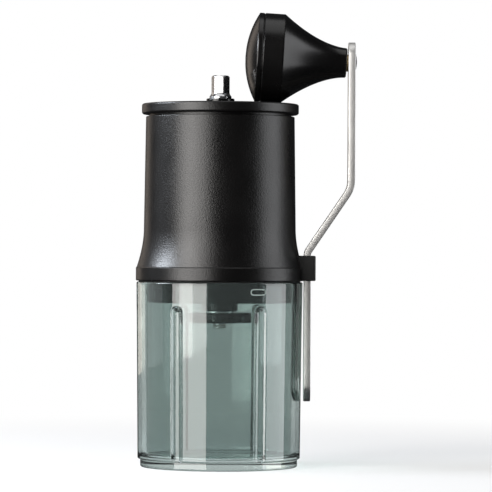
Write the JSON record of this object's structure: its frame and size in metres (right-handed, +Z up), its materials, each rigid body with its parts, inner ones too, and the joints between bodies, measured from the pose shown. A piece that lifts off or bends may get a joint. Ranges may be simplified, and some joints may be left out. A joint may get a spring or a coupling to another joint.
{
  "type": "hand crank coffee grinder",
  "caption": "Upright hand coffee grinder with a clear fluted jar, a flared black housing, conical burrs and a dogleg crank with a mushroom knob, stowed in a side clip.",
  "frame": {"origin": "centre of the jar's flat underside, on the surface the grinder stands on", "axes": "+Z up along the drive shaft's axis, +X towards the clip and the stowed crank, and -Y towards the side seen from the front"},
  "size_m": [0.0958, 0.0728, 0.1973],
  "materials": {
    "clear_plastic": "clear moulded plastic, gloss",
    "matte_shell": "soft matte black",
    "black_trim": "satin black moulding",
    "knob_black": "polished black",
    "silicone": "dull black silicone",
    "steel": "satin stainless steel",
    "ceramic": "unglazed white ceramic",
    "brass": "plain brass"
  },
  "bodies": {
    "jar": {"jar": "clear_plastic"},
    "gasket": {"jar_gasket": "silicone"},
    "head": {"housing": "matte_shell", "burr_mount": "black_trim", "hopper": "matte_shell", "crank_clip": "silicone", "upper_bush": "brass", "lower_bush": "brass", "outer_burr": "ceramic", "burr_holder": "black_trim", "holder_screws": "steel"},
    "shaft": {"drive_shaft": "steel", "shaft_ring": "steel", "spring": "steel"},
    "burr": {"inner_burr": "ceramic", "burr_hub": "black_trim", "click_plate": "steel", "spring_washer": "steel"},
    "adjuster": {"adjusting_wheel": "black_trim", "adjuster_nut": "brass"},
    "lid": {"lid": "matte_shell", "lid_bush": "black_trim"},
    "crank": {"crank_arm": "steel", "knob_axle": "steel", "knob_washer": "brass", "knob_keeper": "steel"},
    "knob": {"knob": "knob_black", "knob_cap": "knob_black"}
  },
  "joints": [
    {"name": "jar_twist", "type": "hinge", "parent": "jar", "child": "gasket", "pos_m": [0, 0, 0.0802], "axis": [0, 0, 1], "range_deg": [0, 25]},
    {"name": "head_lift", "type": "slide", "parent": "gasket", "child": "head", "axis": [0, 0, 1], "range_m": [0, 0.06]},
    {"name": "shaft_spin", "type": "hinge", "parent": "head", "child": "shaft", "pos_m": [0, 0, 0.12], "axis": [0, 0, 1], "continuous": true},
    {"name": "burr_travel", "type": "slide", "parent": "shaft", "child": "burr", "axis": [0, 0, -1], "range_m": [0, 0.0015], "deforming": ["spring"]},
    {"name": "adjuster_turn", "type": "hinge", "parent": "burr", "child": "adjuster", "pos_m": [0, 0, 0.0646], "axis": [0, 0, -1], "range_deg": [0, 540]},
    {"name": "lid_lift", "type": "slide", "parent": "head", "child": "lid", "axis": [0, 0, 1], "range_m": [0, 0.03]},
    {"name": "crank_lift", "type": "slide", "parent": "lid", "child": "crank", "axis": [0, 0, 1], "range_m": [0, 0.066]},
    {"name": "knob_spin", "type": "hinge", "parent": "crank", "child": "knob", "pos_m": [0.0558, 0, 0.1756], "axis": [-0.9981, 0, 0.061], "continuous": true}
  ],
  "couplings": [
    {"joint": "adjuster_turn", "follows": "burr_travel", "rad_per_m": 6283.1}
  ]
}
